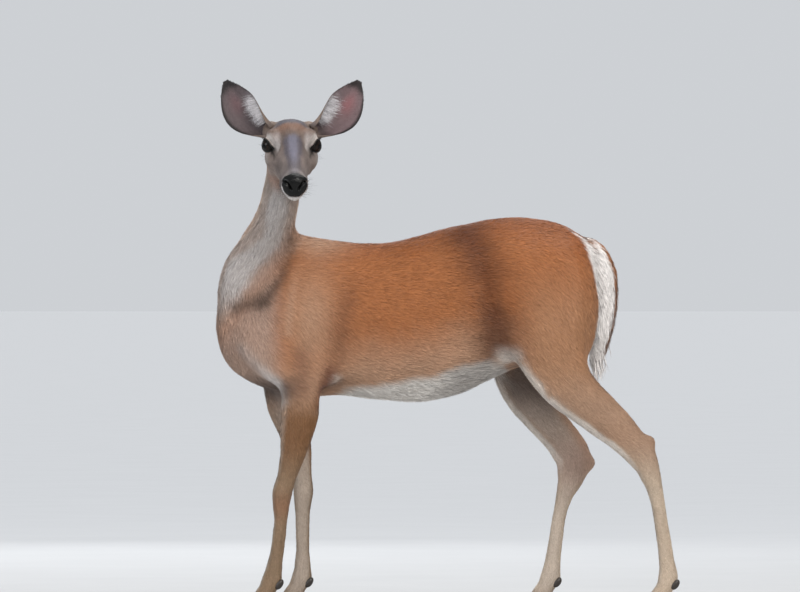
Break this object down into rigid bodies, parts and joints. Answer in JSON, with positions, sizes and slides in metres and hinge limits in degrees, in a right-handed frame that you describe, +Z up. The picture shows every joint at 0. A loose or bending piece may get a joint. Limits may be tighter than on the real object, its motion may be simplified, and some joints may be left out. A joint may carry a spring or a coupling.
{
  "type": "white-tailed deer",
  "caption": "Life-size standing white-tailed doe in reddish summer coat, head turned to her left, ears raised.",
  "frame": {"origin": "on the ground below the centre of the bounding box", "axes": "+Z up; the body faces -X; her left side, to which the head is turned, is -Y"},
  "size_m": [1.0082, 0.4798, 1.1627],
  "materials": {
    "coat": "short flat summer hair, reddish brown, white below",
    "neck_coat": "short flat hair, greyish tan",
    "face_coat": "very short hair, grey-brown",
    "ear_coat": "thin ear with short hair, dark rim and pale hair inside",
    "leg_coat": "very short hair, tan",
    "tail_coat": "long hair, brown above with a white fringe",
    "nose": "moist black pebbled skin",
    "eye": "wet and glossy, almost black brown",
    "horn": "dark worn hoof horn"
  },
  "bodies": {
    "root": {"head": "face_coat", "muzzle": "face_coat", "lower_jaw": "face_coat", "nose": "nose", "neck_upper": "neck_coat", "neck_lower": "neck_coat", "chest": "coat", "trunk": "coat", "rump": "coat", "tail": "tail_coat", "thigh_left": "coat", "forearm_left": "leg_coat", "knee_left": "leg_coat", "fore_cannon_left": "leg_coat", "fore_pastern_left": "leg_coat", "gaskin_left": "leg_coat", "hock_left": "leg_coat", "hind_cannon_left": "leg_coat", "hind_pastern_left": "leg_coat", "ear_left": "ear_coat", "eye_left": "eye", "hoof_fore_left_left_claw": "horn", "dewclaw_fore_left_left": "horn", "hoof_fore_left_right_claw": "horn", "dewclaw_fore_left_right": "horn", "hoof_hind_left_left_claw": "horn", "dewclaw_hind_left_left": "horn", "hoof_hind_left_right_claw": "horn", "dewclaw_hind_left_right": "horn", "thigh_right": "coat", "forearm_right": "leg_coat", "knee_right": "leg_coat", "fore_cannon_right": "leg_coat", "fore_pastern_right": "leg_coat", "gaskin_right": "leg_coat", "hock_right": "leg_coat", "hind_cannon_right": "leg_coat", "hind_pastern_right": "leg_coat", "ear_right": "ear_coat", "eye_right": "eye", "hoof_fore_right_left_claw": "horn", "dewclaw_fore_right_left": "horn", "hoof_fore_right_right_claw": "horn", "dewclaw_fore_right_right": "horn", "hoof_hind_right_left_claw": "horn", "dewclaw_hind_right_left": "horn", "hoof_hind_right_right_claw": "horn", "dewclaw_hind_right_right": "horn"}
  },
  "joints": []
}
